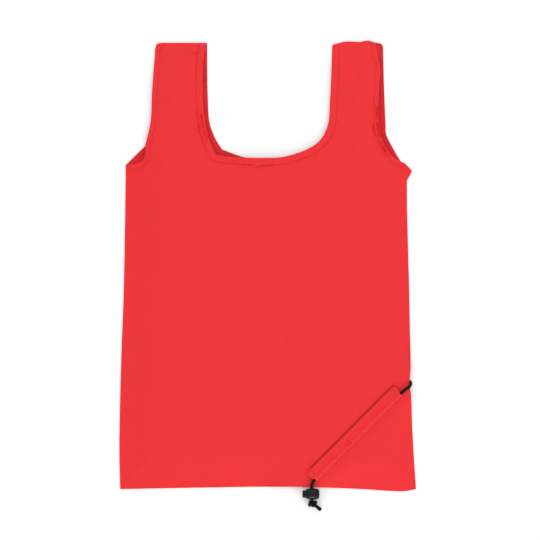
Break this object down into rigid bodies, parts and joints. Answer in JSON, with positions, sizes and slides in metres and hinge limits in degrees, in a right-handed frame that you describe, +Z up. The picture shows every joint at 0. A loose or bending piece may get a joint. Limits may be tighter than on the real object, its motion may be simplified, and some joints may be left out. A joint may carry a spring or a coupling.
{
  "type": "foldable tote bag",
  "caption": "Flat vest-shaped polyester shopper with handle loops and a drawcord storage pouch in its lower corner, closed by a spring cord lock.",
  "frame": {"origin": "on the surface that the bag lies on, under the middle of the cloth's box; the drawcord and lock are left out", "axes": "+X to the right across the bag, +Y from the bottom seam to the handles, +Z up out of the front panel"},
  "size_m": [0.3836, 0.6091, 0.0144],
  "materials": {
    "red_polyester": "plain woven, slight sheen",
    "red_seam": "bound and stitched",
    "black_cord": "braided",
    "black_plastic": "satin",
    "black_plastic_plunger": "satin",
    "spring_steel": "drawn wire"
  },
  "bodies": {
    "bag": {"front_panel": "red_polyester", "back_panel": "red_polyester", "bottom_seam": "red_seam", "left_side_seam": "red_seam", "right_side_seam": "red_seam", "cord_casing_front": "red_polyester", "cord_casing_back": "red_polyester", "drawcord": "black_cord"},
    "left_handle": {"left_handle_front": "red_polyester", "left_handle_back": "red_polyester", "left_handle_top_seam": "red_seam"},
    "right_handle": {"right_handle_front": "red_polyester", "right_handle_back": "red_polyester", "right_handle_top_seam": "red_seam"},
    "cord_end": {"strand_front": "black_cord", "strand_back": "black_cord", "cord_knot": "black_cord", "cord_tail_long": "black_cord", "cord_tail_short": "black_cord"},
    "cord_lock": {"lock_barrel": "black_plastic", "lock_spring": "spring_steel"},
    "plunger": {"lock_plunger": "black_plastic_plunger"}
  },
  "joints": [
    {"name": "left_handle_fold", "type": "hinge", "parent": "bag", "child": "left_handle", "pos_m": [-0.113, 0.176, 0.0084], "axis": [1, 0, 0], "range_deg": [0, 175]},
    {"name": "right_handle_fold", "type": "hinge", "parent": "bag", "child": "right_handle", "pos_m": [0.115, 0.176, 0.0084], "axis": [1, 0, 0], "range_deg": [0, 175]},
    {"name": "cord_end_lift", "type": "hinge", "parent": "bag", "child": "cord_end", "pos_m": [0.0568, -0.2821, 0.0118], "axis": [-1, 0, 0], "range_deg": [0, 90]},
    {"name": "lock_slide", "type": "slide", "parent": "cord_end", "child": "cord_lock", "axis": [0, 1, 0], "range_m": [0, 0.0012]},
    {"name": "plunger_press", "type": "slide", "parent": "cord_lock", "child": "plunger", "axis": [1, 0, 0], "range_m": [0, 0.003], "stiffness_N_per_m": 1500}
  ]
}
